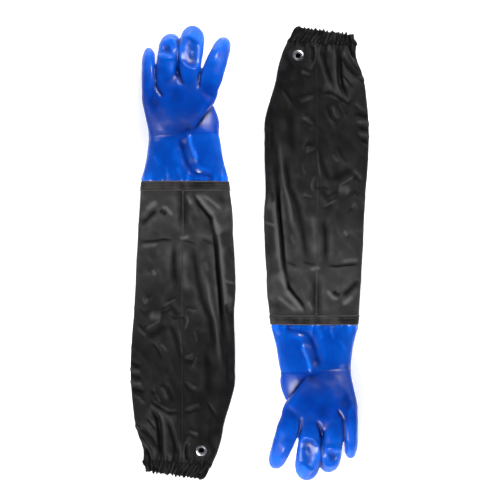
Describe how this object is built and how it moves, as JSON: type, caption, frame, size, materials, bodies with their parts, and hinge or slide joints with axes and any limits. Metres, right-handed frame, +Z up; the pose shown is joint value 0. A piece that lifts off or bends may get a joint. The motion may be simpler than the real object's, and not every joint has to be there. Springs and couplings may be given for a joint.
{
  "type": "pair of cryogenic gloves",
  "caption": "Shoulder-length protective gloves lying flat: blue dipped hands and gauntlets on black fabric sleeves with a gathered hem and an eyelet.",
  "frame": {"origin": "on the floor, at the middle of the pair", "axes": "+Z up from the floor; +Y along the gloves, the way glove A's fingers point; glove A lies at -X"},
  "size_m": [0.37, 0.7046, 0.0577],
  "materials": {
    "sleeve_fabric": "coated, semi-matte",
    "seam_tape": "matte",
    "elastic": "matte",
    "thread": "matte",
    "eyelet_metal": "bright nickel plate",
    "band": "satin",
    "smooth_pvc": "glossy",
    "rough_pvc": "sandy, semi-matte",
    "liner": "knitted, matte"
  },
  "bodies": {
    "glove_a_arm": {"glove_a_sleeve_tube": "sleeve_fabric", "glove_a_sleeve_seam_weld": "sleeve_fabric", "glove_a_sleeve_seam_tape": "seam_tape", "glove_a_hem_casing": "sleeve_fabric", "glove_a_hem_elastic": "elastic", "glove_a_hem_stitches": "thread", "glove_a_eyelet_barrel": "eyelet_metal", "glove_a_eyelet_washer": "eyelet_metal", "glove_a_eyelet_patch": "seam_tape", "glove_a_joint_band": "band", "glove_a_joint_inner_tape": "seam_tape", "glove_a_gauntlet_shell": "smooth_pvc", "glove_a_gauntlet_liner": "liner"},
    "glove_a_hand": {"glove_a_palm_shell": "rough_pvc", "glove_a_palm_liner": "liner"},
    "glove_a_little": {"glove_a_little_shell": "rough_pvc", "glove_a_little_liner": "liner"},
    "glove_a_ring": {"glove_a_ring_shell": "rough_pvc", "glove_a_ring_liner": "liner"},
    "glove_a_middle": {"glove_a_middle_shell": "rough_pvc", "glove_a_middle_liner": "liner"},
    "glove_a_index": {"glove_a_index_shell": "rough_pvc", "glove_a_index_liner": "liner"},
    "glove_a_thumb": {"glove_a_thumb_shell": "rough_pvc", "glove_a_thumb_liner": "liner"},
    "glove_b_arm": {"glove_b_sleeve_tube": "sleeve_fabric", "glove_b_sleeve_seam_weld": "sleeve_fabric", "glove_b_sleeve_seam_tape": "seam_tape", "glove_b_hem_casing": "sleeve_fabric", "glove_b_hem_elastic": "elastic", "glove_b_hem_stitches": "thread", "glove_b_eyelet_barrel": "eyelet_metal", "glove_b_eyelet_washer": "eyelet_metal", "glove_b_eyelet_patch": "seam_tape", "glove_b_joint_band": "band", "glove_b_joint_inner_tape": "seam_tape", "glove_b_gauntlet_shell": "smooth_pvc", "glove_b_gauntlet_liner": "liner"},
    "glove_b_hand": {"glove_b_palm_shell": "rough_pvc", "glove_b_palm_liner": "liner"},
    "glove_b_little": {"glove_b_little_shell": "rough_pvc", "glove_b_little_liner": "liner"},
    "glove_b_ring": {"glove_b_ring_shell": "rough_pvc", "glove_b_ring_liner": "liner"},
    "glove_b_middle": {"glove_b_middle_shell": "rough_pvc", "glove_b_middle_liner": "liner"},
    "glove_b_index": {"glove_b_index_shell": "rough_pvc", "glove_b_index_liner": "liner"},
    "glove_b_thumb": {"glove_b_thumb_shell": "rough_pvc", "glove_b_thumb_liner": "liner"}
  },
  "joints": [
    {"name": "glove_a_wrist_bend", "type": "hinge", "parent": "glove_a_arm", "child": "glove_a_hand", "pos_m": [-0.10175, 0.186, 0.019], "axis": [-1, 0, 0], "range_deg": [-30, 30], "stiffness_Nm_per_rad": 1.2},
    {"name": "glove_a_little_bend", "type": "hinge", "parent": "glove_a_hand", "child": "glove_a_little", "pos_m": [-0.1543, 0.252, 0.045], "axis": [-0.9997, -0.0262, 0], "range_deg": [-15, 60], "stiffness_Nm_per_rad": 0.15},
    {"name": "glove_a_ring_bend", "type": "hinge", "parent": "glove_a_hand", "child": "glove_a_ring", "pos_m": [-0.1253, 0.267, 0.045], "axis": [-0.9998, 0.0175, 0], "range_deg": [-15, 60], "stiffness_Nm_per_rad": 0.15},
    {"name": "glove_a_middle_bend", "type": "hinge", "parent": "glove_a_hand", "child": "glove_a_middle", "pos_m": [-0.0918, 0.271, 0.045], "axis": [-0.999, 0.0436, 0], "range_deg": [-15, 60], "stiffness_Nm_per_rad": 0.15},
    {"name": "glove_a_index_bend", "type": "hinge", "parent": "glove_a_hand", "child": "glove_a_index", "pos_m": [-0.0578, 0.2665, 0.045], "axis": [-0.9659, 0.2588, 0], "range_deg": [-15, 60], "stiffness_Nm_per_rad": 0.15},
    {"name": "glove_a_thumb_swing", "type": "hinge", "parent": "glove_a_hand", "child": "glove_a_thumb", "pos_m": [-0.056, 0.219, 0.0235], "axis": [0, -1, 0], "range_deg": [0, 80], "stiffness_Nm_per_rad": 0.15},
    {"name": "glove_b_lift", "type": "slide", "parent": "glove_a_arm", "child": "glove_b_arm", "axis": [0, 0, 1], "range_m": [0, 0.12]},
    {"name": "glove_b_wrist_bend", "type": "hinge", "parent": "glove_b_arm", "child": "glove_b_hand", "pos_m": [0.10175, -0.186, 0.019], "axis": [1, 0, 0], "range_deg": [-30, 30], "stiffness_Nm_per_rad": 1.2},
    {"name": "glove_b_little_bend", "type": "hinge", "parent": "glove_b_hand", "child": "glove_b_little", "pos_m": [0.1543, -0.252, 0.045], "axis": [0.9997, 0.0262, 0], "range_deg": [-15, 60], "stiffness_Nm_per_rad": 0.15},
    {"name": "glove_b_ring_bend", "type": "hinge", "parent": "glove_b_hand", "child": "glove_b_ring", "pos_m": [0.1253, -0.267, 0.045], "axis": [0.9998, -0.0175, 0], "range_deg": [-15, 60], "stiffness_Nm_per_rad": 0.15},
    {"name": "glove_b_middle_bend", "type": "hinge", "parent": "glove_b_hand", "child": "glove_b_middle", "pos_m": [0.0918, -0.271, 0.045], "axis": [0.999, -0.0436, 0], "range_deg": [-15, 60], "stiffness_Nm_per_rad": 0.15},
    {"name": "glove_b_index_bend", "type": "hinge", "parent": "glove_b_hand", "child": "glove_b_index", "pos_m": [0.0578, -0.2665, 0.045], "axis": [0.9659, -0.2588, 0], "range_deg": [-15, 60], "stiffness_Nm_per_rad": 0.15},
    {"name": "glove_b_thumb_swing", "type": "hinge", "parent": "glove_b_hand", "child": "glove_b_thumb", "pos_m": [0.056, -0.219, 0.0235], "axis": [0, 1, 0], "range_deg": [0, 80], "stiffness_Nm_per_rad": 0.15}
  ]
}
